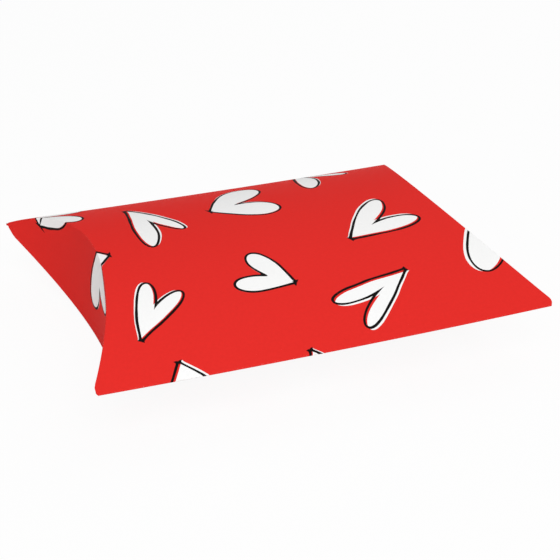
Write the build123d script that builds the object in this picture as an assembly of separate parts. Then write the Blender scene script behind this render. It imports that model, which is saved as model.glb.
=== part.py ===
from build123d import *
import math
import os

# A pillow box: one die-cut and creased blank of folding boxboard, glued along its back
# seam into a lens-shaped sleeve and shut at each end by an outer and an inner flap.
# Millimetres. +X runs along the box to the right end, +Y to the glued seam at the back,
# +Z up. The origin is under the middle of the box, on the surface that it lies on.
#
# The top and bottom panels are arches about X. Each end is a hollow arch about Z of the
# same radius, so panel and flap meet on a plane curve, which is what lets a flat sheet
# fold along it.

# Driving sizes of the erected box
length = 150.0  # between the tips of the ears, before their corners are rounded
width = 125.0  # from the front fold to the glued seam
height = 35.0  # at the middle, over the outside of both panels
board = 0.45  # thickness of the board

# Long folds and the ears at their ends
ear_radius = 2.0  # rounded corner of each ear, seen from above
fold_nose_radius = 0.4  # outside rounding of a long fold
fold_bead_radius = 0.4  # inside rounding, where the crease leaves its bead
fold_land = 0.3  # how far a fold's crushed board reaches past its bead and its ears

# Curved creases between the panels and the flaps
crease_land = 0.8  # how far a crease reaches along its panel, and down its flap
crease_nose_radius = 0.3  # outside rounding of a curved crease
crease_slit = 0.2  # room between a crease and its flap, square to the cut

# Glued seam at the back
glue_thickness = 0.1
glue_tab_width = 14.0  # from the width to the tab's own edge
glue_tab_end_gap = 5.0  # from the ears' tips to the tab's ends, at the fold
glue_tab_end_slant = 35.0  # degrees that the tab's ends lean in
glue_edge_margin = 2.5  # bare board round the glue

# Flaps
lap_gap = 0.25  # between an outer flap and the inner flap behind it
flap_end_gap = 0.3  # from a fold's strip to an outer flap's ends
outer_flap_short = 0.5  # an outer flap stops this far short of the bottom face
outer_flap_corner = 1.5  # rounded corners of an outer flap's free edge
inner_flap_width = 106.0  # between an inner flap's ends
inner_flap_depth = 16.0  # from the bottom of the box up to an inner flap's free edge
inner_flap_corner = 2.0  # rounded corners of an inner flap's free edge

# What cuts run past the solid that they cut
overrun = 5.0

# The arches
half_length = length / 2
half_width = width / 2
rise = height / 2
arch_radius = (half_width**2 + rise**2) / (2 * rise)
arch_drop = arch_radius - rise  # from an arch's axis to the plane of the long folds
edge_slope = math.asin(half_width / arch_radius)  # of a panel at a long fold

# The rounding of a fold's nose draws it in from the width, and the cut edge of the seam
# comes out as far as the nose does, so the box is as wide on both sides of the middle
nose_setback = fold_nose_radius / math.sin(edge_slope) - fold_nose_radius
seam_angle = math.asin((half_width - nose_setback) / arch_radius)

# Radii of the faces, about the arches' axes. The inner flaps and the bottom creases are
# set further into the box, because the outer flaps shut over them.
panel_inside = arch_radius - board
tab_outside = panel_inside - glue_thickness
tab_inside = tab_outside - board
set_in = board + lap_gap

# The bead of the back fold is the deeper of the two. Without its rounding, the inner
# faces of the tab and the bottom panel would meet at bead_tip from the middle of the box,
# and at bead_drop under the plane of the long folds.
bead_drop = (panel_inside**2 - tab_inside**2) / (4 * arch_drop)
bead_tip = math.sqrt(panel_inside**2 - (arch_drop + bead_drop) ** 2)
bead_reach = fold_bead_radius / math.tan(edge_slope) * math.cos(edge_slope)

# A rounded ear uses up this much of the width
ear_angle = math.pi / 2 - edge_slope
ear_reach = ear_radius / math.tan(ear_angle / 2) * math.cos(edge_slope)

# The folds' strips take in the beads and the ears, and the curved creases lie between
fold_start = min(bead_tip - bead_reach, half_width - ear_reach) - fold_land
outer_flap_reach = fold_start - flap_end_gap

top, bottom = 1, -1
left, right = -1, 1


def axis_height(side):
    """Height of the axis of the top or the bottom panel's arch."""
    return rise - side * arch_drop


def arch_disc(radius, side):
    """A disc about the axis of a panel's arch, drawn across the box (local X is Y)."""
    return Pos(0, axis_height(side)) * Circle(radius)


def arch_ring(outside, inside):
    """The section of an arch of the top panel's side, between two radii."""
    return arch_disc(outside, top) - arch_disc(inside, top)


def band(y_from, y_to):
    """The part of the cross section between two distances from the middle."""
    return Pos((y_from + y_to) / 2, rise) * Rectangle(y_to - y_from, height + 2 * overrun)


def along_box(face):
    """A cross section drawn across the box, made into a prism over its whole length."""
    return extrude(Plane.YZ * face, half_length, both=True)


def along_end(face, end):
    """The same from the middle of the box to the tips of one end."""
    return extrude(Plane.YZ * face, half_length, dir=(end, 0, 0))


def end_disc(radius, end):
    """The disc that an end of the box is hollowed by, seen from above.

    It is turned so that its closing point lies off the box."""
    return Pos(end * (half_length + arch_drop), 0) * Rot(0, 0, 90) * Circle(radius)


def end_column(radius, end):
    """The same disc as a tall column."""
    return Pos(0, 0, -overrun) * extrude(end_disc(radius, end), height + 2 * overrun)


def end_inset(side):
    """How far the flaps and creases of the top or the bottom panel are set in."""
    return 0 if side == top else set_in


def mitre(end, side, shift):
    """A prism whose wall holds a curved crease and halves the angle between its boards.

    The wall's rulings run straight out of the box at the crease, so a flap that is cut by
    it slides along it at the ears, and turns away from it at the middle, as it opens. The
    flap lies inside the prism. The wall is moved along the panel by the shift.
    """
    outward = Vector(end, 0, side)
    to_panel = Vector(-end, 0, side)
    tips = Vector(end * half_length, 0, rise)
    root_two = math.sqrt(2)
    centre = tips + to_panel.normalized() * ((end_inset(side) + shift) / root_two - root_two * arch_drop)
    section = Plane(centre, x_dir=(0, 1, 0), z_dir=outward) * Ellipse(arch_radius, root_two * arch_radius)
    return extrude(section, height, both=True)


def plan_prism():
    """The box's outline from above, with its rounded ears, as a tall prism."""
    face = Rectangle(length, width)
    for end in (left, right):
        face = face - end_disc(arch_radius, end)
    ears = face.vertices().sort_by(lambda corner: abs(corner.X))[-4:]
    return Pos(0, 0, -overrun) * extrude(fillet(ears, ear_radius), height + 2 * overrun)


def top_panel():
    """The upper arch. Its back edge is the blank's cut edge, square to the board."""
    reach = 2 * overrun
    beyond = Pos(reach / 2, arch_radius) * Rectangle(reach, 2 * reach)
    beyond = Pos(0, axis_height(top)) * Rot(0, 0, -math.degrees(seam_angle)) * beyond
    section = arch_ring(arch_radius, panel_inside) & band(-fold_start, half_width)
    solid = along_box(section - beyond) & plan_prism()
    between_folds = along_box(band(-half_width, fold_start))
    for end in (left, right):
        solid = solid - (mitre(end, top, crease_land) & between_folds)
    return solid


def bottom_panel():
    """The lower arch, between the front fold and the back fold."""
    section = arch_disc(arch_radius, bottom) - arch_disc(panel_inside, bottom)
    solid = along_box(section & band(-fold_start, fold_start))
    for end in (left, right):
        solid = solid - mitre(end, bottom, crease_land)
    return solid


def fold_section(outside, inside, span):
    """Both boards where they meet in a long fold, with its nose and its inside bead.

    The two radii are those of the upper board. The lower board is the bottom panel's."""
    solid = arch_disc(outside, top) & arch_disc(arch_radius, bottom) & span
    hollow = arch_disc(inside, top) & arch_disc(panel_inside, bottom) & span
    nose = solid.vertices().sort_by(lambda corner: abs(corner.X))[-1]
    bead = hollow.vertices().sort_by(lambda corner: abs(corner.X))[-1]
    return fillet(nose, fold_nose_radius) - fillet(bead, fold_bead_radius)


def front_fold():
    """The crushed strip of board that joins the panels along the front."""
    span = band(-half_width - overrun, -fold_start)
    return along_box(fold_section(arch_radius, panel_inside, span)) & plan_prism()


def back_fold():
    """The same at the back, where the bottom panel turns over into the glue tab."""
    span = band(fold_start, half_width + overrun)
    return along_box(fold_section(tab_outside, tab_inside, span)) & plan_prism()


def tab_prism(margin):
    """The glue tab's outline from above, drawn in by a margin, as a tall prism."""
    inner_edge = half_width - glue_tab_width + margin
    outer_edge = fold_start - margin
    lean = math.tan(math.radians(glue_tab_end_slant))
    at_fold = half_length - glue_tab_end_gap - margin
    at_edge = at_fold - (outer_edge - inner_edge) * lean
    corners = [
        (-at_fold, outer_edge),
        (at_fold, outer_edge),
        (at_edge, inner_edge),
        (-at_edge, inner_edge),
    ]
    return extrude(make_face(Polyline(*corners, close=True)), height)


def glue_tab():
    """The strip of board under the top panel's back edge."""
    section = arch_ring(tab_outside, tab_inside) & band(0, half_width)
    return along_box(section) & tab_prism(0)


def glue_line():
    """The set glue between the tab and the top panel."""
    section = arch_ring(panel_inside, tab_outside) & band(0, half_width)
    return along_box(section) & tab_prism(glue_edge_margin)


def crease(end, side):
    """The crushed strip of board along a curved crease, from its panel round to its flap."""
    face_radius = arch_radius + end_inset(side)
    outside = arch_disc(arch_radius, side) & band(-fold_start, fold_start)
    inside = arch_disc(panel_inside, side) & band(-half_width, half_width)
    solid = along_end(outside, end) - end_column(face_radius, end)
    hollow = along_end(inside, end) - end_column(face_radius + board, end)
    apex = (end * (half_length - rise - end_inset(side)), 0, rise + side * rise)
    nose = solid.edges().sort_by_distance(apex)[0]
    strip = fillet(nose, crease_nose_radius) & mitre(end, side, crease_land)
    strip = strip - mitre(end, side, -crease_land)
    return strip - hollow


def flap(end, side, elevation):
    """A flap: one board of a hollow end, cut to an outline that is seen along the box.

    Its edge at the crease is the mitre's, so that it swings out without touching it."""
    face_radius = arch_radius + end_inset(side)
    shell = end_column(face_radius + board, end) - end_column(face_radius, end)
    shift = -crease_land - crease_slit * math.sqrt(2)
    return shell & along_end(elevation, end) & mitre(end, side, shift)


def outer_flap(end):
    """The flap on the top panel, which covers the whole end of the box."""
    lens = arch_disc(arch_radius, top) & arch_disc(arch_radius - outer_flap_short, bottom)
    lens = lens & band(-outer_flap_reach, outer_flap_reach)
    free_corners = lens.vertices().sort_by(Axis.Y)[:2]
    return flap(end, top, fillet(free_corners, outer_flap_corner))


def inner_flap(end):
    """The flap on the bottom panel, half as deep, which tucks in behind the outer one."""
    outline = Pos(0, inner_flap_depth - height / 2) * Rectangle(inner_flap_width, height)
    free_corners = outline.vertices().sort_by(Axis.Y)[-2:]
    return flap(end, bottom, fillet(free_corners, inner_flap_corner))


def save(solid, name):
    """Writes one piece of the box to its own file."""
    export_step(solid, f"parts/{name}.step")
    print(name, len(solid.solids()), round(solid.volume, 1))


os.makedirs("parts", exist_ok=True)
save(top_panel(), "top_panel")
save(bottom_panel(), "bottom_panel")
save(front_fold(), "front_fold")
save(back_fold(), "back_fold")
save(glue_tab(), "glue_tab")
save(glue_line(), "glue_line")
for end, end_name in ((left, "left"), (right, "right")):
    save(crease(end, top), f"{end_name}_top_crease")
    save(crease(end, bottom), f"{end_name}_bottom_crease")
    save(outer_flap(end), f"{end_name}_outer_flap")
    save(inner_flap(end), f"{end_name}_inner_flap")
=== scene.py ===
# %% [markdown]
# A pillow box
#
# A pillow box is a single sheet of thin board. It is printed on one side, cut to an outline,
# creased, glued along one seam and pushed open, and it is shut by flaps that curve inwards.
# This lesson builds the look of one around a CAD model that is already packed. The CAD
# model says where everything is and what moves, and nothing here may leave its box.

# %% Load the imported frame
import math

import bpy
import numpy as np
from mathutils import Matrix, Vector


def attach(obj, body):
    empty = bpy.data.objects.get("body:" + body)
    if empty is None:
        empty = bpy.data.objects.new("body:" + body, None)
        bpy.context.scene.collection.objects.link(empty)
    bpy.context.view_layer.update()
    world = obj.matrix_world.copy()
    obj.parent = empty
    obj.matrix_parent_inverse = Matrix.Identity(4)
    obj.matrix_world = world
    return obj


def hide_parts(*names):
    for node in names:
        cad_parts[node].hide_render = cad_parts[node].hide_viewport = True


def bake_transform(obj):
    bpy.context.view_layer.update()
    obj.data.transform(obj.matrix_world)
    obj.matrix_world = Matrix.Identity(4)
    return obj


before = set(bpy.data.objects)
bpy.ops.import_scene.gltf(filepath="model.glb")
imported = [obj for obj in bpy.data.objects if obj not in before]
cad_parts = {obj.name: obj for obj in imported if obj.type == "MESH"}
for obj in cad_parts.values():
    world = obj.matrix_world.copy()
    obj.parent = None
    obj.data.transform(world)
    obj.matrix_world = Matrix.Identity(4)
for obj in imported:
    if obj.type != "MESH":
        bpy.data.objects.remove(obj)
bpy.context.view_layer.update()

# %% [markdown]
# The sizes are those of the CAD source, in millimetres, unless a comment says otherwise.
# Every piece below works in these and is turned into metres once, when its mesh is made.
# Heights are measured up from the plane of the long folds, halfway up the box, because the
# box is nearly the same above and below it.

# %% Sizes of the box
MILLIMETRE = 0.001

length = 150.0
width = 125.0
height = 35.0
board = 0.45  # thickness of the board

half_length = length / 2
half_width = width / 2
rise = height / 2
arch_radius = (half_width**2 + rise**2) / (2 * rise)
arch_drop = arch_radius - rise

fold_start = 59.16  # a long fold's own strip of board starts this far from the middle
seam_edge = 62.1  # the top panel's cut edge at the back
ear_radius = 2.0  # rounding of the four ears, seen from above
nose_radius = 0.4  # rounding of a long fold, outside and inside
crease_land = 0.8  # a curved crease's strip, along its panel and down its flap
crease_nose = 0.3  # rounding of a curved crease
glue_thickness = 0.1
set_in = 0.7  # the bottom creases and inner flaps lie this much further into the box

top, bottom = 1, -1
left, right = -1, 1

print("radius of every arch:", round(arch_radius, 3), "mm")

# %% [markdown]
# The whole shape comes from one arch. Both panels are bent to the same radius, and so are
# the flaps, but about an upright axis. A sheet does this when it is folded along a curve and
# the crease stays in one plane: the panel and the flap bend by the same amount, to opposite
# sides of it. So one short function gives the height of a panel over the fold plane and also
# how far an end is hollow.

# %% The arch
def arch(y, radius=arch_radius):
    """Height of an arch at y from the middle: the root of radius squared less y squared,
    less the drop of its axis."""
    return np.sqrt(radius**2 - np.asarray(y, float) ** 2) - arch_drop


def along_arch(y):
    """Length of board from the middle of the box to y: the radius times the arc sine of y
    over the radius."""
    return arch_radius * np.arcsin(np.asarray(y, float) / arch_radius)


print("height over the fold plane at the middle:", round(float(arch(0)), 3), "mm")

# %% [markdown]
# Seen from above, the sheet ends in four ears, which are rounded because a sharp point of
# board would crush. Between the ears the end is hollow along the arch. In an ear the outline
# leaves the arch for a small circle that also touches the line of the long fold.

# %% The outline of the ears
ear_centre_y = half_width - ear_radius
ear_centre_in = math.sqrt((arch_radius + ear_radius) ** 2 - ear_centre_y**2) - arch_drop
ear_start = ear_centre_y * arch_radius / (arch_radius + ear_radius)


def outline_in(y):
    """How far the sheet's end lies in from the ears' sharp points: the arch's height, and
    past the start of the ear the ear circle's centre less the root of its radius squared
    less the distance from that centre squared."""
    y = np.abs(np.asarray(y, float))
    circle = np.sqrt(np.clip(ear_radius**2 - (y - ear_centre_y) ** 2, 0, None))
    return np.where(y < ear_start, arch(np.minimum(y, ear_start)), ear_centre_in - circle)


print("ears' rounding starts", round(ear_start, 2), "mm from the middle")

# %% [markdown]
# Pieces that meet share the same rows of points, so that no light shows between them. The
# rows follow each other across the box, closer together where a flap has a rounded corner.

# %% Rows across the box and columns along it
row_step, close_step = 1.2, 0.3
inner_flap_end = 53.0  # an inner flap's ends, from the middle
inner_corner = 2.0  # rounding of an inner flap's corners
outer_corner = 0.7  # of an outer flap's, 1.5 in the CAD, as the ears' press closes them up
close_reach = 1.5  # how far in from an outer flap's ends the rows stand close
column_count = 121


def rows_between(start, end, step):
    """Rows about a step apart, from start to end."""
    return np.linspace(start, end, round((end - start) / step) + 1)


half_rows = np.concatenate([
    rows_between(0, inner_flap_end - inner_corner, row_step),
    rows_between(inner_flap_end - inner_corner, inner_flap_end, close_step),
    rows_between(inner_flap_end, fold_start - close_reach, row_step),
    rows_between(fold_start - close_reach, fold_start, close_step),
])
rows = np.unique(np.round(np.concatenate([-half_rows, half_rows]), 6))
spread = np.linspace(-1, 1, column_count)  # columns, as a share of the way to each end
print(len(rows), "rows across,", len(spread), "columns along")

# %% [markdown]
# Real board has a printed face, a bare face and a cut edge between them. Each piece is
# therefore made as a closed shell from two grids of points, the printed face and the bare
# face. Walls join the grids wherever a kept cell has no kept neighbour. A record of where
# every corner lies on the flat sheet goes with it, since the print is put on before folding.

# %% A closed shell of board
PRINTED, BARE, CUT, TIP = 0, 1, 2, 3


class Shell:
    """Points, four-cornered faces and each face's kind, with its corners' places on the
    sheet and how worn they are."""

    def __init__(self, points, faces, kinds, places, wear):
        self.points, self.faces, self.kinds = points, faces, kinds
        self.places, self.wear = places, wear


def cells_of(grid):
    """The four corners of every cell of a grid, in order round the cell."""
    return np.stack([grid[:-1, :-1], grid[1:, :-1], grid[1:, 1:], grid[:-1, 1:]], -1)


def board_shell(printed, bare, place, wear=None, kept=None):
    """A shell from two grids of points (rows, columns, 3), with a wall under each edge of a
    kept cell whose neighbour isn't kept."""
    count = printed.shape[0] * printed.shape[1]
    number = np.arange(count).reshape(printed.shape[:2])
    cells = cells_of(number)
    kept = np.ones(cells.shape[:2], bool) if kept is None else kept
    around = np.pad(kept, 1)
    neighbours = (around[1:-1, :-2], around[2:, 1:-1], around[1:-1, 2:], around[:-2, 1:-1])
    walls = []
    for edge, neighbour in enumerate(neighbours):
        a = cells[..., edge][kept & ~neighbour]
        b = cells[..., (edge + 1) % 4][kept & ~neighbour]
        walls.append(np.stack([b, a, a + count, b + count], -1))
    walls = np.concatenate(walls)
    face = cells[kept]
    faces = np.concatenate([face, face[:, ::-1] + count, walls])
    kinds = np.repeat([PRINTED, BARE, CUT], [len(face), len(face), len(walls)])
    place = place.reshape(-1, 2)
    wear = np.zeros(count) if wear is None else wear.ravel()
    points = np.concatenate([printed.reshape(-1, 3), bare.reshape(-1, 3)])
    used, faces = np.unique(faces, return_inverse=True)
    faces = faces.reshape(-1, 4)
    return Shell(points[used], faces, kinds, np.tile(place, (2, 1))[used][faces],
                 np.tile(wear, 2)[used][faces])


# %% [markdown]
# A packer's thumb presses the four ears flat, and the long folds bow a little, so that the
# ears lie higher than the middles of the folds. The photograph shows both. The CAD pieces
# leave them out, so every point made here goes through one function that puts them in.

# %% Ears pressed flat
PRESSED, PRESS_REACH = 0.7, 5.0  # thickness of a pressed ear, and how far the press reaches
PRESS_IN = 1.0  # the press is hardest this far in from the line of the long fold
EAR_LIFT = 0.75  # how much higher the ears lie than the middles of the long folds
ear_tip_x, ear_tip_y = half_length - ear_centre_in + ear_radius, half_width - PRESS_IN


def pressed(x, y, z):
    """Heights over the fold plane, with the four ears pressed flat and a little raised: depth
    under the top panel's arch, times 1 far from the ears and a share at their tips that
    leaves PRESSED, and then the lift times both shares of the way out to an ear, squared."""
    away = np.hypot(np.abs(x) - ear_tip_x, np.abs(y) - ear_tip_y) / PRESS_REACH
    near = np.clip(1 - away, 0, 1)
    roof = np.maximum(arch(np.minimum(np.abs(y), half_width)), PRESSED / 2)
    share = 1 - near * near * (3 - 2 * near) * (1 - PRESSED / (2 * roof))
    lift = EAR_LIFT * (x / ear_tip_x * y / half_width) ** 2
    return roof - (roof - z) * share + lift


def point_grid(x, y, z):
    """One grid of points from three arrays that numpy can stretch to the same size, with
    heights changed from the fold plane to the floor."""
    x, y, z = np.broadcast_arrays(x, y, z)
    return np.stack([x, y, pressed(x, y, z) + rise], -1)


print("an ear's thickness at its tip:", PRESSED, "mm")

# %% [markdown]
# The panels come first. A panel's printed face is the arch itself, and its bare face is the
# same arch with a radius that is smaller by the board. It ends just before each curved
# crease, on a slanting cut, so that the crease's own strip fits on without a step. The print
# is a little worn along creases and edges, which is noted for each point as it is made.

# %% The panels
def wear_near(distance, reach):
    """How worn the print is: 1 on a crease or an edge, and 0 past its reach."""
    return np.clip(1 - np.abs(distance) / reach, 0, 1) ** 2


wear_reach = 1.6


def panel_place(x, y, side):
    """Place on the flat sheet: x as it is, and the length of board from the middle of the
    top panel, which for the bottom panel goes round the front fold."""
    length_along = along_arch(y)
    if side == bottom:
        length_along = -2 * sheet_to_front - length_along
    return np.stack(np.broadcast_arrays(x, length_along), -1)


def fold_circle(upper_radius, lower_radius):
    """Centre of the circle of the nose's radius that touches the inside of both arches, and
    the angles, up and down from level, at which it touches them."""
    upper, lower = upper_radius - nose_radius, lower_radius - nose_radius
    z = (upper**2 - lower**2) / (4 * arch_drop)
    y = math.sqrt(lower**2 - (z - arch_drop) ** 2)
    return y, z, math.atan2(z + arch_drop, y), math.atan2(arch_drop - z, y)


front_nose = fold_circle(arch_radius, arch_radius)
nose_touch = arch_radius * math.cos(front_nose[2])
sheet_to_front = float(along_arch(nose_touch)) + nose_radius * front_nose[2]


def panel(side):
    """The top or bottom panel: x is a share of the way to the crease, y is the row, and the
    height is the arch's. The bare face has the radius less the board."""
    inset = 0 if side == top else set_in
    inside = arch_radius - board
    y = rows[:, None]
    cut_line = 2 * arch(y) + inset + crease_land
    outer_x = (half_length - cut_line + arch(y)) * spread
    inner_x = (half_length - cut_line + arch(y, inside)) * spread
    printed = point_grid(outer_x, y, side * arch(y))
    bare = point_grid(inner_x, y, side * arch(y, inside))
    to_crease = (half_length - arch(y) - inset) - np.abs(outer_x)
    wear = wear_near(to_crease, wear_reach) + 0 * outer_x
    return printed, bare, panel_place(outer_x, y, side), wear


print("board from the middle to the front fold:", round(sheet_to_front, 2), "mm")

# %% [markdown]
# At the back the top panel goes on past the last row, over the glued tab, to its cut edge.
# This is the box's only seam, and a real one shows as a fine step just above the back fold.

# %% The top panel's back edge
back_row_count = 9
back_rows = np.linspace(fold_start, seam_edge, back_row_count)


def edge_columns(y, inset=0):
    """Columns along a strip that reaches the sheet's outline: one at each outline, and
    between them the panel's own columns, a crease's land further in. Half a crease's nose
    and the inset are taken off where a crease ends, and less and less further out."""
    still_crease = np.clip((fold_start + ear_radius - np.asarray(y, float)) / ear_radius, 0, 1)
    end = half_length - outline_in(y) - (crease_nose / 2 + inset) * still_crease
    middle = (end - crease_land) * spread
    return np.concatenate([-end, middle, end], 1)


def back_strip(y):
    """The top panel's rows from the end of its creases to its back edge, as panel() gives
    the others. The bare face is drawn in little by little, so that the cut edge stands square
    to the arch."""
    lean = (y - fold_start) / (seam_edge - fold_start)
    bare_y = y - lean * board * seam_edge / arch_radius
    x = edge_columns(y)
    bare = point_grid(x, bare_y, arch(bare_y, arch_radius - board))
    wear = wear_near(seam_edge - y, wear_reach) + 0 * x
    return point_grid(x, y, arch(y)), bare, panel_place(x, y, top), wear


def top_panel():
    """The upper arch with its back strip, which is two columns wider. The arch is widened by
    the end points of the strip's first row, and the cells that this adds aren't kept."""
    grids = []
    for grid, strip in zip(panel(top), back_strip(back_rows[:, None])):
        first_row = np.repeat(strip[:1], len(grid), 0)
        widened = np.concatenate([first_row[:, :1], grid, first_row[:, -1:]], 1)
        grids.append(np.concatenate([widened, strip[1:]]))
    kept = np.ones([count - 1 for count in grids[0].shape[:2]], bool)
    kept[: len(rows) - 1, [0, -1]] = False
    return board_shell(*grids, kept)


top_shell = top_panel()
bottom_shell = board_shell(*panel(bottom))
print("top panel:", len(top_shell.faces), "faces; bottom panel:", len(bottom_shell.faces))

# %% [markdown]
# The long folds are where the board turns back on itself. On the real box the crease crushes
# a thin strip, which leaves a small round nose outside and a round bead inside. The strip is
# drawn as a profile across the box and carried from ear to ear. Its ends are closed by
# upright walls on the ears' rounded outline, as the board of the real ears closes them.

# %% The profile of a long fold
arch_points, nose_points = 7, 12  # along each arch, and round the nose
fold_end_wall = 1.5 * board  # how much shorter the inside of a fold is at each end


def fold_profile(upper_radius, lower_radius):
    """Points across the box: along the upper arch to where the nose circle touches it, round
    that circle, and back along the lower arch. Also their lengths along the board."""
    centre_y, centre_z, up, down = fold_circle(upper_radius, lower_radius)
    upper_y = np.linspace(fold_start, upper_radius * math.cos(up), arch_points + 1)[:-1]
    turn = np.linspace(up, -down, nose_points)
    lower_y = np.linspace(lower_radius * math.cos(down), fold_start, arch_points + 1)[1:]
    y = np.concatenate([upper_y, centre_y + nose_radius * np.cos(turn), lower_y])
    z = np.concatenate([arch(upper_y, upper_radius), centre_z + nose_radius * np.sin(turn),
                        -arch(lower_y, lower_radius)])
    steps = np.hypot(np.diff(y), np.diff(z))
    return y, z, np.concatenate([[0], np.cumsum(steps)])


def fold_shell(side_y, upper_radius, sheet_start):
    """A long fold, front or back: the outer and inner profiles carried along the box between
    the ears, with both skins closed at the ears and joined along their open edge."""
    y, z, run = fold_profile(upper_radius, arch_radius)
    inner_y, inner_z, _ = fold_profile(upper_radius - board, arch_radius - board)
    outer_x = edge_columns(y[:, None], np.where(z < 0, set_in, 0)[:, None])
    printed = point_grid(outer_x, side_y * y[:, None], z[:, None])
    inner_x = outer_x * (1 - fold_end_wall / half_length)
    bare = point_grid(inner_x, side_y * inner_y[:, None], inner_z[:, None])
    count, columns = printed.shape[0] * printed.shape[1], printed.shape[1]
    number = np.arange(count).reshape(printed.shape[:2])
    skin = cells_of(number).reshape(-1, 4)
    step = np.arange(len(y) // 2 - 1)
    tips = []
    for column, order in ((columns - 1, 1), (0, -1)):
        quad = np.stack([step, step + 1, len(y) - 2 - step, len(y) - 1 - step], -1)
        tips.append(number[quad, column][:, ::order])
    tips = np.concatenate(tips)
    first, last = number[0], number[-1]
    loop = np.concatenate([first, last[::-1], first[:1]])
    rim = np.stack([loop[:-1], loop[1:], loop[1:] + count, loop[:-1] + count], -1)
    faces = np.concatenate([skin, tips, skin[:, ::-1] + count, tips[:, ::-1] + count, rim])
    kinds = np.repeat([PRINTED, TIP, BARE, BARE, CUT],
                      [len(skin), len(tips), len(skin), len(tips), len(rim)])
    along_sheet = (sheet_start + side_y * run)[:, None]
    place = np.stack(np.broadcast_arrays(printed[..., 0], along_sheet), -1)
    to_nose = np.abs(run - run[-1] / 2)[:, None] + 0 * printed[..., 0]
    wear = wear_near(to_nose, wear_reach)
    points = np.concatenate([printed.reshape(-1, 3), bare.reshape(-1, 3)])
    places = np.tile(place.reshape(-1, 2), (2, 1))[faces]
    at_tips = kinds == TIP
    places[at_tips, :, 1] = places[at_tips, :, 1].mean(1, keepdims=True)
    return Shell(points, faces, kinds, places, np.tile(wear.ravel(), 2)[faces])


tab_outside = arch_radius - board - glue_thickness
start_length = float(along_arch(fold_start))
front_shell = fold_shell(-1, arch_radius, -start_length)
back_run = fold_profile(tab_outside, arch_radius)[2][-1]
back_shell = fold_shell(1, tab_outside, -2 * sheet_to_front - start_length - back_run)
print("strip of board in the front fold:", round(2 * (sheet_to_front - start_length), 2), "mm")

# %% [markdown]
# A curved crease is the heart of this box. Panel and flap meet at it almost at a right angle,
# and the crushed board between them is a narrow strip with a small round nose. Its ends on
# both sides are slanting cuts, at the same slant as the panel's, so that flap and panel fit.

# %% The curved creases
quarter_turn, nose_step_count = math.pi / 2, 8
nose_steps = np.linspace(0, quarter_turn, nose_step_count)


def crease_shell(end, side):
    """The strip along a curved crease: level along the panel to the nose, round a quarter
    circle, and straight down the flap. The bare face turns a plain inside corner."""
    inset = 0 if side == top else set_in
    y = rows[:, None]
    panel_up, flap_in = arch(y), arch(y, arch_radius + inset)
    cut_panel = 2 * arch(y) + inset + crease_land - panel_up
    cut_flap = 2 * arch(y) + inset - crease_land - flap_in
    around_in = flap_in + crease_nose * (1 - np.sin(nose_steps))
    around_up = panel_up - crease_nose * (1 - np.cos(nose_steps))
    out_in = np.concatenate([cut_panel, around_in, flap_in], 1)
    out_up = np.concatenate([panel_up, around_up, cut_flap], 1)
    bare_up, bare_in = arch(y, arch_radius - board), arch(y, arch_radius + inset + board)
    bare_panel = 2 * arch(y) + inset + crease_land - bare_up
    bare_flap = 2 * arch(y) + inset - crease_land - bare_in
    half = out_in.shape[1] // 2
    to_corner, from_corner = np.linspace(0, 1, half), np.linspace(0, 1, half + 1)[1:]
    in_in = np.concatenate([bare_panel + (bare_in - bare_panel) * to_corner,
                            bare_in + 0 * from_corner], 1)
    in_up = np.concatenate([bare_up + 0 * to_corner,
                            bare_up + (bare_flap - bare_up) * from_corner], 1)
    printed = point_grid(end * (half_length - out_in), y, side * out_up)
    bare = point_grid(end * (half_length - in_in), y, side * in_up)
    across = np.concatenate([cut_panel - inset - panel_up,
                             crease_nose * (1 - 2 * nose_steps / quarter_turn) + 0 * y,
                             cut_flap - panel_up], 1)
    place = panel_place(end * (half_length - inset - arch(y) - across), y, side)
    return board_shell(printed, bare, place, wear_near(across, wear_reach))


crease_shells = {(end, side): crease_shell(end, side)
                 for end in (left, right) for side in (top, bottom)}
strip_faces = len(crease_shells[left, top].faces)
print("curved creases:", len(crease_shells), "strips of", strip_faces, "faces")

# %% [markdown]
# A flap is bent about an upright axis, hollow side out. The outer one covers the whole end
# and stops just short of the bottom face, and the inner one is only half as deep. Both have
# rounded free corners, because a sharp corner of board would catch and tear.

# %% The flaps
outer_flap_short = 0.5  # how far short of the bottom face an outer flap stops
inner_flap_depth = 16.0  # from the bottom of the box up to an inner flap's free edge
depth_count = 29
depth_shares = np.linspace(0, 1, depth_count)


def rounded_edge(y, edge, end_y, radius):
    """A free edge (down from the fold plane, as a function of y) with its corner at end_y
    rounded: a circle that touches the end and the edge, taken as straight near the corner."""
    centre_y = end_y - radius
    slope = (edge(end_y) - edge(centre_y)) / radius
    steep = math.hypot(1, slope)
    centre_down = edge(centre_y) - radius * steep
    touch = centre_y - radius * slope / steep
    y = np.abs(y)
    circle = centre_down + np.sqrt(np.clip(radius**2 - (y - centre_y) ** 2, 0, None))
    return np.where(y < touch, edge(np.minimum(y, end_y)), circle)


def flap_shell(end, side, y, free_edge):
    """A flap: from the slanting cut at its crease to its free edge, on a cylinder about an
    upright axis outside the box. Heights are over the fold plane, towards the panel that it
    hangs on. Where its ends are pressed into the ears, the ink covers the edge too."""
    inset = 0 if side == top else set_in
    y = y[:, None]
    faces = []
    for radius in (arch_radius + inset, arch_radius + inset + board):
        inward = arch(y, radius)
        start = 2 * arch(y) + inset - crease_land - inward
        up = start + (-free_edge(y) - start) * depth_shares
        faces.append((point_grid(end * (half_length - inward), y, side * up), up))
    (printed, up), (bare, _) = faces
    place = panel_place(end * (half_length - inset - up), y, side)
    to_crease, to_edge = arch(y) - up, up + free_edge(y)
    wear = np.maximum(wear_near(to_crease, wear_reach), wear_near(to_edge, wear_reach / 2))
    shell = board_shell(printed, bare, place, wear)
    face_y = np.abs(shell.points[shell.faces, 1].mean(1))
    shell.kinds[(shell.kinds == CUT) & (face_y > fold_start - 2 * outer_corner)] = TIP
    return shell


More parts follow.
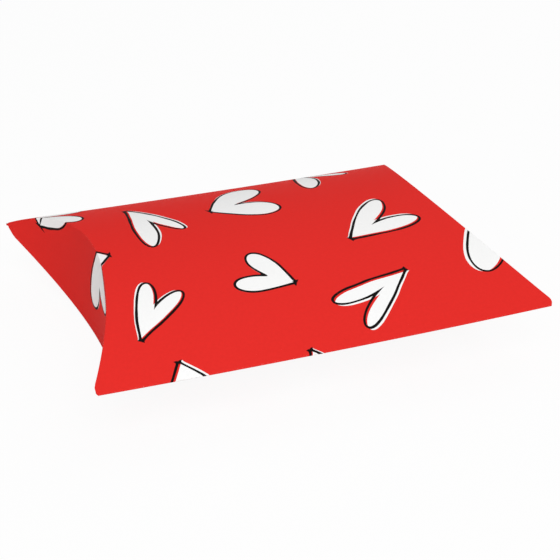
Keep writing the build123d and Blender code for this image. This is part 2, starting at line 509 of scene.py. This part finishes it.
def outer_free_edge(y):
    """The outer flap's free edge, just short of the bottom panel's face."""
    return rounded_edge(y, lambda v: arch(v, arch_radius - outer_flap_short),
                        fold_start, outer_corner)


def inner_free_edge(y):
    """The inner flap's straight free edge, a little under halfway up the box."""
    return rounded_edge(y, lambda v: inner_flap_depth - rise + 0 * np.asarray(v, float),
                        inner_flap_end, inner_corner)


inner_rows = rows[np.abs(rows) < inner_flap_end + close_step / 2]
outer_flaps = {end: flap_shell(end, top, rows, outer_free_edge) for end in (left, right)}
inner_flaps = {end: flap_shell(end, bottom, inner_rows, inner_free_edge)
               for end in (left, right)}
print("flaps:", len(outer_flaps[left].faces), "and", len(inner_flaps[left].faces), "faces each")

# %% [markdown]
# The glue tab is the bottom panel's last strip. It lies under the top panel's back edge with
# its slanted ends, and shows only as a pale band inside the box when a flap is open.

# %% The glue tab
tab_width, tab_end_gap = 14.0, 5.0  # across, and how far short of the ears it ends
tab_slant = 35.0  # how far its ends lean in, in degrees
tab_row_count = 11
tab_inner_edge = half_width - tab_width
tab_end, tab_lean = half_length - tab_end_gap, math.tan(math.radians(tab_slant))


def glue_tab():
    """The tab: rows from the back fold inwards, each shorter at both ends by its distance
    from the fold times the lean."""
    y = np.linspace(fold_start, tab_inner_edge, tab_row_count)[:, None]
    x = (tab_end - (fold_start - y) * tab_lean) * spread
    printed = point_grid(x, y, arch(y, tab_outside))
    bare = point_grid(x, y, arch(y, tab_outside - board))
    return board_shell(printed, bare, panel_place(x, y, top))


tab_shell = glue_tab()
print("glue tab:", len(tab_shell.faces), "faces")

# %% [markdown]
# The sheet is printed before it is cut, red all over with scattered hearts, which is a common
# pattern for gift wrap. Each heart here is given by the place of its point on the flat sheet,
# the direction in which it opens, and the lengths, half widths and angle between its two
# lobes. The last two say how far the white was printed off the black line, and how far the
# notch between the lobes is filled. The places follow the photograph, and the rest of the
# sheet, which it doesn't show, is filled alike.

# %% Where the hearts lie on the sheet
# x and length along the sheet, heading, left and right lobe, angle between, half widths,
# slip of the white, and how much the two lobes run together, all in mm and degrees
hearts = np.array([
    (-68.0, 43.5, -20, 19, 23, 76, 4.9, 4.7, 0.6, 1.5),
    (-39.0, 27.5, -79, 29.5, 36, 25, 2.6, 3.4, 0.9, 1.5),
    (-14.2, 10.9, 15.8, 30.8, 22.8, 60, 6.3, 6.0, 0.6, 2.6),
    (32.0, 54.0, -77, 22.5, 35, 47, 3.4, 3.6, 0.7, 1.5),
    (21.6, -22.5, 30, 28.5, 27.0, 35, 3.8, 3.5, 1.0, 1.5),
    (71.0, -16.5, -98, 29, 34, 31, 5.0, 6.0, -1.3, 1.5),
    (-54.5, -9.5, 176, 21, 29, 46, 6.4, 4.8, 0.7, 1.5),
    (-56.2, -49.9, 57, 24, 24, 27, 2.8, 2.7, 0.8, 1.5),
    (-3.8, -38.1, 145.5, 18.5, 18.8, 49, 3.4, 3.6, 0.4, 3.0),
    (32.0, -40.9, -150.6, 27.9, 28.2, 28, 2.6, 2.9, 1.1, 0.4),
    (-47.8, -59.6, -82, 23, 22.5, 41, 4.2, 4.2, 1.2, 1.5),
    (-8.4, -63.9, -70, 24, 24, 36, 3.8, 3.8, 0.8, 1.5),
    (68.0, 32.0, -14, 24, 24, 34, 3.3, 3.1, 0.8, 1.5),
    (64.0, -86.0, 164, 26, 27, 30, 3.1, 3.3, 0.9, 1.5),
    (20.0, -108.0, 62, 24, 25, 33, 3.2, 3.0, 0.8, 1.5),
    (-70.0, -110.0, 42, 25, 24, 30, 3.0, 3.2, 0.7, 1.5),
    (-36.0, -109.0, -18, 22, 23, 44, 3.6, 3.8, 0.8, 1.5),
    (54.0, -114.0, -78, 28, 26, 28, 3.0, 3.1, 1.0, 1.5),
    (-72.0, -150.0, -38, 26, 25, 34, 3.2, 3.4, 0.8, 1.5),
    (-22.0, -141.0, -112, 25, 27, 31, 3.1, 3.0, 0.9, 1.5),
    (8.0, -152.0, 18, 27, 25, 36, 3.4, 3.3, 0.7, 1.5),
    (78.0, -166.0, 148, 24, 25, 33, 3.1, 3.2, 0.8, 1.5),
    (-46.0, -180.0, 2, 26, 24, 32, 3.2, 3.1, 0.8, 1.5),
    (36.0, -186.0, 108, 25, 24, 30, 3.0, 3.1, 0.8, 1.5),
    (-94.0, -128.0, -84, 25, 24, 30, 3.0, 3.1, 0.8, 1.5),
    (92.0, -112.0, -100, 25, 24, 30, 3.0, 3.1, 0.8, 1.5),
])
point, heading = hearts[:, :2], np.radians(hearts[:, 2])
left_lengths, right_lengths, betweens, left_widths, right_widths, slips, joins = hearts[:, 3:].T
forward = np.stack([np.cos(heading), np.sin(heading)], -1)
leftward = np.stack([-forward[:, 1], forward[:, 0]], -1)
LOBES_MIDDLE = 0.8  # where a lobe's round end has its middle, as a share of its length
heart_reach = LOBES_MIDDLE * (left_lengths + right_lengths) / 2


def nearest_heart(spots):
    """Number of the heart nearest to each spot: the spot's distance to the line from a
    heart's point to near the end of its lobes."""
    away = spots[:, None] - point
    along = np.clip((away * forward).sum(-1), 0, heart_reach)
    return np.linalg.norm(away - along[..., None] * forward, axis=-1).argmin(1)


HEART_MIDDLE, FAR = 0.6, 1000.0  # share of the reach; a distance from a heart to itself
middles = point + HEART_MIDDLE * heart_reach[:, None] * forward
gaps = np.linalg.norm(middles[:, None] - middles, axis=-1) + FAR * np.eye(len(hearts))
nearest = round(float(gaps.min()), 1)
print(len(hearts), "hearts; the nearest two middles are", nearest, "mm apart")

# %% [markdown]
# A shader can't look a heart up in a table, so each face of the mesh carries the numbers of
# its own heart: how far each corner is from the heart's point, forwards and to the left, the
# direction and size of both lobes, and how they join. The faces are much smaller than the
# gaps between hearts, so the change from one heart's numbers to the next falls on plain red.

# %% Numbers for the print
def heart_numbers(places):
    """For faces with corner places (faces, 4, 2): each corner's place from its own heart's
    point and the white's slip, for both lobes the direction over the length and the half
    width over the length, and how much the lobes run together."""
    mine = nearest_heart(places.mean(1))
    away = places - point[mine][:, None]
    ahead = (away * forward[mine][:, None]).sum(-1)
    aside = (away * leftward[mine][:, None]).sum(-1)
    slip = np.broadcast_to(slips[mine][:, None], ahead.shape)
    numbers = {"from_heart": np.stack([ahead, aside, slip], -1)}
    half_angle = np.radians(betweens[mine]) / 2
    for name, lengths, half_widths, sign in (("left_lobe", left_lengths, left_widths, 1),
                                             ("right_lobe", right_lengths, right_widths, -1)):
        size, half_wide = lengths[mine], half_widths[mine]
        lobe = np.stack([np.cos(half_angle) / size, sign * np.sin(half_angle) / size,
                         half_wide / size], -1)
        numbers[name] = np.repeat(lobe[:, None], 4, 1)
    numbers["lobes_join"] = np.repeat(joins[mine][:, None, None], 4, 1) * (1, 0, 0)
    return numbers


print("numbers at each corner:", ", ".join(heart_numbers(top_shell.places[:1])))

# %% [markdown]
# Materials are written here as sums. A Signal stands for one output of a node, and
# arithmetic on it adds Math nodes. The alternative, a graph wired by hand, would take
# hundreds of lines for the hearts, and no one could read the formula back from it.

# %% Signals that can be reckoned with
class Signal:
    """An output socket of a finish that Python's arithmetic works on."""

    def __init__(self, finish, socket):
        self.finish, self.socket = finish, socket

    def math(self, operation, *others):
        """A Math node with this signal as its first value."""
        return self.finish.node("ShaderNodeMath", {"operation": operation}, [self, *others])

    __add__ = __radd__ = lambda self, other: self.math("ADD", other)
    __mul__ = __rmul__ = lambda self, other: self.math("MULTIPLY", other)
    __sub__ = lambda self, other: self.math("SUBTRACT", other)
    __rsub__ = lambda self, other: (self * -1) + other
    __truediv__ = lambda self, other: self.math("DIVIDE", other)
    __abs__ = lambda self: self.math("ABSOLUTE")

    def root(self):
        """The square root."""
        return self.math("SQRT")

    def larger(self, other):
        """The larger of two signals."""
        return self.math("MAXIMUM", other)

    def step(self, low, high):
        """0 below low, 1 above high, and a soft step between."""
        return self.finish.node("ShaderNodeMapRange", {"interpolation_type": "SMOOTHSTEP"},
                                [self, low, high, 0.0, 1.0])

    def parts(self):
        """The three numbers of a vector signal."""
        return [self.finish.node("ShaderNodeSeparateXYZ", {}, [self], output)
                for output in range(3)]


print("arithmetic on a signal:", "+ - * / abs")

# %% [markdown]
# Every node, those of the arithmetic too, comes from one method of a Finish. It sets the
# node's settings first, because they decide which sockets there are, and then gives the
# sockets their values or links. The other nodes used most have short methods of their own.

# %% Finishes
AMOUNT, UNDER, OVER, MIXED = 0, 6, 7, 2  # sockets of a Mix node that mixes colours


class Finish:
    """A material in the making, or the world's, which has nodes too, with its shader."""

    def __init__(self, name, world=False):
        self.material = (bpy.data.worlds if world else bpy.data.materials).new(name)
        self.material.use_nodes = True
        self.tree = self.material.node_tree
        self.shader = self.tree.nodes["Background" if world else "Principled BSDF"]

    def feed(self, socket, value):
        """Links a signal to a socket, or sets the socket's own value."""
        if isinstance(value, Signal):
            self.tree.links.new(value.socket, socket)
        else:
            socket.default_value = value

    def node(self, kind, settings, values=(), output=0):
        """Adds any node: settings first, then its sockets by order or by name or number."""
        made = self.tree.nodes.new(kind)
        for setting, value in settings.items():
            setattr(made, setting, value)
        named = values.items() if isinstance(values, dict) else enumerate(values)
        for socket, value in named:
            self.feed(made.inputs[socket], value)
        return Signal(self, made.outputs[output])

    def stretched(self, vector, factors):
        """A vector with each of its three numbers times its own factor."""
        return self.node("ShaderNodeVectorMath", {"operation": "MULTIPLY"}, [vector, factors])

    def attribute(self, name):
        """A vector that the mesh carries for each corner."""
        return self.node("ShaderNodeAttribute", {"attribute_name": name}, output="Vector")

    def noise(self, vector, scale, detail=2.0, output="Fac"):
        """Cloudy noise with lumps about one over the scale across."""
        return self.node("ShaderNodeTexNoise", {},
                         {"Vector": vector, "Scale": scale, "Detail": detail}, output)

    def mix(self, amount, under, over):
        """One colour laid over another by an amount."""
        return self.node("ShaderNodeMix", {"data_type": "RGBA"},
                         {AMOUNT: amount, UNDER: under, OVER: over}, MIXED)

    def bump(self, height, strength, distance):
        """A surface that is raised by a height, in metres at a height of 1."""
        return self.node("ShaderNodeBump", {},
                         {"Height": height, "Strength": strength, "Distance": distance})

    def surface(self, **values):
        """Gives the shader's own sockets their values or links."""
        for name, value in values.items():
            self.feed(self.shader.inputs[name.replace("_", " ")], value)


print("a Mix node takes its colours at sockets", UNDER, "and", OVER)

# %% [markdown]
# A heart is two lobes that share a point, like two petals. Along a lobe, with t from 0 at the
# point to 1 at its round end, the half width is in proportion to t times the root of (1 - t),
# which starts straight and ends round. To draw a line of even thickness, the shader needs the
# distance to this outline, and it gets a good estimate by dividing by the slope.

# %% The distance into a heart
LOBE = 27 / 4  # makes the largest value of LOBE * t * t * (1 - t) equal to 1
BOW = 0.11  # how much a lobe bows inwards, so that the heart's sides are nearly straight
FILLED = 12.0  # how far from the point the lobes can run together, in mm
LEAST_FILL = 0.03  # how much they run together elsewhere, in mm
LEAST_SLOPE = 1e-7  # keeps the slope's square above zero


def lobe_depth(ahead, aside, lobe, bow, crossed):
    """How far inside a lobe's outline a spot is, in millimetres, and below 0 outside: (width
    squared * t * |t| * (1 - t) - across squared), over the length of its slope. A crossed
    lobe has t squared in place of t * |t|, so that its two sides run on past the point."""
    direct_x, direct_y, stout = lobe.parts()
    t = ahead * direct_x + aside * direct_y
    across = aside * direct_x - ahead * direct_y + (t - t * t) * bow
    width = stout * stout * LOBE
    size = abs(t)
    body = width * t * (t if crossed else size) * (1 - t) - across * across
    slope_along = width * size * (2 - t * 3)
    slope = (slope_along * slope_along + across * across * 4 + LEAST_SLOPE).root()
    length = (direct_x * direct_x + direct_y * direct_y).root()
    return body / (slope * length)


def heart_depth(finish, ahead, aside, crossed=False):
    """How far inside its heart a spot is: the deeper of the two lobes, and a little deeper
    between them, so that no line shows where one side of a lobe lies inside the other."""
    left_depth = lobe_depth(ahead, aside, finish.attribute("left_lobe"), BOW, crossed)
    right_depth = lobe_depth(ahead, aside, finish.attribute("right_lobe"), -BOW, crossed)
    share = ahead / FILLED
    joined = finish.attribute("lobes_join").parts()[0]
    fill = (share * (1 - share) * 4 * joined).larger(LEAST_FILL)
    return left_depth.math("SMOOTH_MAX", right_depth, fill)


print("at t = 2 / 3 a lobe is widest:", round(LOBE * (2 / 3) ** 2 * (1 - 2 / 3), 3))

# %% [markdown]
# The ink goes on in three layers. The red has hearts left open in it, where the white board
# shows, and the black line is printed over both, a little out of place as cheap print often
# is. A matt coat lies over all, which is rubbed through along the creases and edges.

# %% The printed red
RED, WHITE, BLACK = (0.78, 0.0285, 0.0235, 1), (0.96, 0.96, 0.955, 1), (0.008, 0.007, 0.007, 1)
RUBBED_RED = (0.85, 0.36, 0.32, 1)
SWAY = 1.2  # how far a slow noise moves an outline about, in mm
PEN_THIN, PEN_SWELL = 0.22, 0.34  # half a thin line's width, and what the pen's pressure adds
PEN_OUT = 0.3  # how far outside its outline a line lies, as a share of half its width
TAIL = 0.7  # the pen's strokes cross at the point and run on this far, in mm
RUN_OUT = 0.15  # how far the white runs past its heart's outline, in mm
SOFT = 0.05  # half the width of ink's soft edge, in mm
FLAT = (1, 1, 0)  # leaves a place on the sheet and drops the wear that is kept with it
WORN_HELP, RUB_START, RUB_FULL, RUB_MOST = 0.3, 0.8, 0.2, 0.4  # how ink is rubbed through


def tinted(colour, factor):
    """The same colour, lighter or darker by a factor."""
    return (*(min(1.0, factor * part) for part in colour[:3]), 1)


def printed_red():
    """The printed face: red ink, white hearts, a black line round each, and a matt coat."""
    finish = Finish("printed_red")
    ahead, aside, slip = finish.attribute("from_heart").parts()
    sheet = finish.attribute("sheet_place")
    worn = sheet.parts()[2]
    flat = finish.stretched(sheet, FLAT)
    sway_x, sway_y, _ = finish.noise(flat, scale=0.07, detail=1.0, output="Color").parts()
    ahead = ahead + (sway_x - 0.5) * SWAY
    aside = aside + (sway_y - 0.5) * SWAY
    line_half = finish.noise(flat, scale=0.12, detail=1.0) * PEN_SWELL + PEN_THIN
    from_line = abs(heart_depth(finish, ahead, aside, crossed=True) + line_half * PEN_OUT)
    line = (line_half - from_line).step(-SOFT, SOFT)
    line = line * (ahead + TAIL).step(-2 * SOFT, 2 * SOFT)
    white = (heart_depth(finish, ahead, aside - slip) + RUN_OUT).step(-SOFT, SOFT)
    mottle = finish.noise(flat, scale=0.9, detail=4.0)
    red, paper = (finish.mix(mottle, tinted(colour, 1 - share), tinted(colour, 1 + share))
                  for colour, share in ((RED, 0.05), (WHITE, 0.02)))
    ink = finish.mix(line, finish.mix(white, red, paper), BLACK)
    scuffs = finish.noise(flat, scale=2.2, detail=6.0)
    rubbed = (worn * WORN_HELP + scuffs - RUB_START).step(0.0, RUB_FULL) * RUB_MOST
    fibres = finish.noise(flat, scale=1.6, detail=5.0) + finish.noise(flat, scale=0.35) * 0.8
    finish.surface(Base_Color=finish.mix(rubbed, ink, RUBBED_RED),
                   Roughness=0.58 + (mottle - 0.5) * 0.12 + rubbed * 0.3,
                   Normal=finish.bump(fibres, strength=0.12, distance=0.00004),
                   Specular_IOR_Level=0.01)
    return finish.material


red_print = printed_red()
print("nodes in the print:", len(red_print.node_tree.nodes))

# %% [markdown]
# The inside of the box and the cut edges are plain board: pulp with short fibres that lie
# mostly one way or the other, a few dark specks, and no coat. The same recipe serves both,
# the edge with a finer grain. The glue keeps its CAD shape, so its finish can't read the
# sheet's places and goes by the place on the object instead.

# %% Bare board and glue
LENGTHWAYS, CROSSWAYS = (0.35, 1.6, 0), (1.5, 0.4, 0)  # squeeze noise into fibres, two ways
SPECK = (0.42, 0.36, 0.28, 1)
THIN_GLUE, THICK_GLUE = (0.86, 0.83, 0.72, 1), (0.93, 0.91, 0.83, 1)


def bare_face(name, colour, grain):
    """Uncoated board: pale, a little grey and warm, with short fibres that lie two ways."""
    finish = Finish(name)
    flat = finish.stretched(finish.attribute("sheet_place"), FLAT)
    cloud = finish.noise(flat, scale=0.12, detail=3.0)
    fibres = (finish.noise(finish.stretched(flat, LENGTHWAYS), grain, detail=5.0)
              + finish.noise(finish.stretched(flat, CROSSWAYS), grain, detail=5.0))
    specks = finish.noise(flat, scale=1.7).step(0.72, 0.76)
    shade = finish.mix(fibres * 0.5 + (cloud - 0.5) * 0.5, tinted(colour, 0.86), colour)
    finish.surface(Base_Color=finish.mix(specks * 0.3, shade, SPECK),
                   Roughness=0.82 + (fibres - 1) * 0.1,
                   Normal=finish.bump(fibres, strength=0.25, distance=0.00006),
                   Specular_IOR_Level=0.25)
    return finish.material


def set_glue():
    """White glue once it has set: a smooth film, yellower where it is thin."""
    finish = Finish("set_glue")
    on_object = finish.node("ShaderNodeTexCoord", {}, output="Object")
    place = finish.stretched(on_object, (1 / MILLIMETRE,) * 3)
    pools = finish.noise(place, scale=0.25, detail=3.0)
    strings = finish.noise(place, scale=1.3, detail=4.0)
    finish.surface(Base_Color=finish.mix(pools, THIN_GLUE, THICK_GLUE),
                   Roughness=0.3 + pools * 0.2,
                   Normal=finish.bump(pools + strings * 0.3, strength=0.4, distance=0.00005))
    return finish.material


bare_board = bare_face("bare_board", (0.8, 0.785, 0.745, 1), grain=1.4)
cut_edge = bare_face("cut_edge", (0.84, 0.82, 0.775, 1), grain=3.0)
finishes = [red_print, bare_board, cut_edge]
glue_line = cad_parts["glue_line"]
glue_line.data.materials.clear()
glue_line.data.materials.append(set_glue())
print("finishes of the board:", ", ".join(material.name for material in finishes))

# %% [markdown]
# Before a shell becomes a mesh, two things are worked out for it. The sign of the volume that
# it encloses tells whether its faces point outwards. A flat map of its faces gives the print
# somewhere to be baked to when the model is exported, with most room for the printed face.

# %% Volume and flat map of a shell
PRINTED_BAND, BARE_BAND = (0.34, 0.99), (0.035, 0.31)  # from where to where, up the map
MAP_MARGIN, EDGE_ROWS = 0.01, 2
EDGE_BAND, EDGE_BOX = 0.003, 0.0125  # where the rows of edge faces start, and a row's height
BOX_INSET = 0.15  # room kept round an edge face, as a share of its box


def enclosed(points, faces):
    """Volume inside a closed mesh of four-cornered faces: a sixth of the sum, over both
    triangles of every face, of a dot b cross c."""
    a, b, c, d = (points[faces[:, corner]] for corner in range(4))
    six_volumes = (a * (np.cross(b, c) + np.cross(c, d))).sum(-1)
    return float(six_volumes.sum() / 6)


def sheet_map(shell):
    """A flat map of a shell's faces, as shares of a picture: the printed face as it lies on
    the sheet, the bare face the same but lower, and each edge face in a box of its own."""
    mapped = np.zeros((len(shell.faces), 4, 2))
    map_width = 1 - 2 * MAP_MARGIN
    for kind, (low, high) in ((PRINTED, PRINTED_BAND), (BARE, BARE_BAND)):
        mine = shell.kinds == kind
        places = shell.places[mine]
        lowest, size = places.min((0, 1)), np.ptp(places, (0, 1))
        mapped[mine] = (places - lowest) / size * (map_width, high - low) + (MAP_MARGIN, low)
    edge = np.flatnonzero((shell.kinds == CUT) | (shell.kinds == TIP))
    in_a_row = -(-len(edge) // EDGE_ROWS)
    box = np.stack([np.arange(len(edge)) % in_a_row, np.arange(len(edge)) // in_a_row], -1)
    near, far = BOX_INSET, 1 - BOX_INSET
    inside = np.array([(near, near), (far, near), (far, far), (near, far)])
    box_size = (map_width / in_a_row, EDGE_BOX)
    mapped[edge] = (box[:, None] + inside) * box_size + (MAP_MARGIN, EDGE_BAND)
    return mapped


board_volume = abs(enclosed(top_shell.points, top_shell.faces))
print("board in the top panel:", round(board_volume), "cubic mm")

# %% [markdown]
# Every shell now becomes a mesh, with its faces turned outwards. Its object stays at the
# origin with its place in its points, as the CAD pieces' do. A mesh can hold vectors for each
# face corner, and that is how the hearts' numbers and the sheet's places reach the finishes.

# %% Making a piece
SLOT_OF_KIND = np.array([0, 1, 2, 0])  # the finish of printed, bare, cut and tip faces
SHARP_ANGLE = 40.0  # edges sharper than this, in degrees, aren't shaded smooth


def put_in_scene(name, data):
    """A new object at the origin, in the scene."""
    made = bpy.data.objects.new(name, data)
    bpy.context.scene.collection.objects.link(made)
    return made


def mesh_piece(name, shell, materials):
    """A piece from a shell: points in metres, faces outwards, one material slot each for the
    printed, bare and cut faces, and the corners' places kept as an attribute."""
    volume = enclosed(shell.points, shell.faces)
    if volume < 0:
        shell.faces = shell.faces[:, ::-1]
        shell.places, shell.wear = shell.places[:, ::-1], shell.wear[:, ::-1]
    mesh = bpy.data.meshes.new(name)
    mesh.from_pydata((shell.points * MILLIMETRE).tolist(), [], shell.faces.tolist())
    for material in materials:
        mesh.materials.append(material)
    mesh.polygons.foreach_set("material_index", SLOT_OF_KIND[shell.kinds])
    numbers = heart_numbers(shell.places)
    numbers["sheet_place"] = np.concatenate([shell.places, shell.wear[..., None]], -1)
    for attribute, vectors in numbers.items():
        data = mesh.attributes.new(attribute, "FLOAT_VECTOR", "CORNER").data
        data.foreach_set("vector", vectors.astype(np.float32).ravel())
    flat_map = mesh.uv_layers.new(name="OFBake").data
    flat_map.foreach_set("uv", sheet_map(shell).astype(np.float32).ravel())
    mesh.polygons.foreach_set("use_smooth", np.ones(len(shell.faces), bool))
    mesh.set_sharp_from_angle(angle=math.radians(SHARP_ANGLE))
    print(f"{name}: {len(shell.faces)} faces, {abs(volume):.0f} cubic mm of board")
    return put_in_scene(name, mesh)


print("finishes for a piece's faces:", len(set(SLOT_OF_KIND.tolist())))

# %% [markdown]
# Ten of the pieces belong to the box itself and never move against each other. One is the
# glue, which keeps its CAD shape. Each of the others is made from its shell, takes the place
# of the CAD piece of the same name, and rides on the root.

# %% The pieces that stay put
END_NAMES = {left: "left", right: "right"}
SIDE_NAMES = {top: "top", bottom: "bottom"}
fixed = {"top_panel": top_shell, "bottom_panel": bottom_shell, "front_fold": front_shell,
         "back_fold": back_shell, "glue_tab": tab_shell}
for (end, side), shell in crease_shells.items():
    fixed[f"{END_NAMES[end]}_{SIDE_NAMES[side]}_crease"] = shell
for node, shell in fixed.items():
    piece = mesh_piece(node + "_board", shell, finishes)
    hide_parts(node)
    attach(piece, "root")
print("pieces that stay put:", len(fixed), "and the glue")

# %% [markdown]
# A real flap doesn't turn about a pin. It bends over its whole depth and snaps through, with
# its crease still following the panel. Here each flap is made from its shell as it lies shut,
# takes the place of the CAD piece of the same name, and keeps its place in its points. The
# depths of such a bend are given below, for flaps that should curl freely when open.

# %% The flaps
outer_bend, inner_bend = 30.0, 16.0  # how deep a real flap's bend reaches, in mm down the flap
for end in (left, right):
    for side, name, shell, bend in ((top, "outer", outer_flaps[end], outer_bend),
                                    (bottom, "inner", inner_flaps[end], inner_bend)):
        node = f"{END_NAMES[end]}_{name}_flap"
        piece = mesh_piece(node + "_board", shell, finishes)
        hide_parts(node)
        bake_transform(piece)
print("flaps that bend:", len(outer_flaps) + len(inner_flaps))

# %% [markdown]
# The camera stands where the photograph was taken from, which was worked out by fitting this
# shape to its outline. It is far off with a long lens, as product pictures are.

# %% Camera
def stand(thing, target, toward, away):
    """Puts a camera or a lamp at its distance from its target and turns it to look there."""
    thing.location = target + toward * away
    thing.rotation_euler = (-toward).to_track_quat("-Z", "Y").to_euler()


azimuth, elevation, distance = math.radians(-21.65), math.radians(26.58), 0.4619
look_at = Vector((0.00579, -0.00058, 0.01086))
outwards = math.cos(elevation)
back = Vector((math.sin(azimuth) * outwards, -math.cos(azimuth) * outwards,
               math.sin(elevation)))
camera_data = bpy.data.cameras.new("camera")
camera_data.lens = 88.3
camera_data.clip_start, camera_data.clip_end = 0.01, 20
camera = put_in_scene("camera", camera_data)
stand(camera, look_at, back, distance)
bpy.context.scene.camera = camera
bpy.context.scene.view_settings.view_transform = "Standard"
print("the camera stands", round(distance / MILLIMETRE), "mm from the middle of the view")

# %% [markdown]
# The box lies on a white floor that looks the same white in every direction. What the camera
# sees of it is mostly its own even white, and the rest is real light, which keeps a trace of
# the box's shadow. The air round about is as white to the camera, and lights the box less.

# %% Floor and backdrop
SEEN_WHITE = 0.93  # share of the floor's look that is even white
SKY = 0.30  # strength of the light from all round


def seen_directly(finish):
    """1 for what the camera sees, straight or in a mirror or through glass, and else 0."""
    paths = [finish.node("ShaderNodeLightPath", {}, output=name)
             for name in ("Is Camera Ray", "Is Glossy Ray", "Is Transmission Ray")]
    return paths[0].larger(paths[1]).larger(paths[2])


def studio_floor(size, z):
    """A level square plane with its paint, as part of the studio and not of the object."""
    half = size / 2
    mesh = bpy.data.meshes.new("floor")
    corners = [(-half, -half, z), (half, -half, z), (half, half, z), (-half, half, z)]
    mesh.from_pydata(corners, [], [(0, 1, 2, 3)])
    plane = put_in_scene("floor", mesh)
    paint = Finish("floor_paint")
    paint.surface(Base_Color=(0.9, 0.9, 0.9, 1), Roughness=1.0, Specular_IOR_Level=0.0)
    even_white = paint.node("ShaderNodeEmission", {}, {"Color": (1, 1, 1, 1), "Strength": 1.0})
    both = paint.node("ShaderNodeMixShader", {}, [seen_directly(paint) * SEEN_WHITE])
    paint.tree.links.new(paint.shader.outputs[0], both.socket.node.inputs[1])
    paint.tree.links.new(even_white.socket, both.socket.node.inputs[2])
    paint.tree.links.new(both.socket, paint.tree.nodes["Material Output"].inputs["Surface"])
    mesh.materials.append(paint.material)


studio_floor(size=12.0, z=-0.00005)
backdrop = Finish("studio", world=True)
backdrop.surface(Color=(1, 1, 1, 1), Strength=seen_directly(backdrop) * (1 - SKY) + SKY)
bpy.context.scene.world = backdrop.material
print("light from all round:", SKY)

# %% [markdown]
# Three soft lamps make the rest of the light. The main one is in front and a little to the
# left, so the back of the arch and the hollow left end are darker. A weaker one behind on the
# right and a faint one on the left keep those sides from going dull.

# %% Lamps
def lamp(name, direction, strength, size=0.9, away=1.2):
    """A square soft lamp that shines on the box from a direction."""
    data = bpy.data.lights.new(name, "AREA")
    data.size = size
    data.energy = strength
    stand(put_in_scene(name, data), Vector(), Vector(direction).normalized(), away)


lamp("key_lamp", (-0.2, -0.7, 0.7), 9.6)
lamp("back_lamp", (0.5, 0.5, 0.7), 3.8)
lamp("left_lamp", (-0.8, -0.5, 0.35), 1.0)
print("lamps:", len(bpy.data.lights))
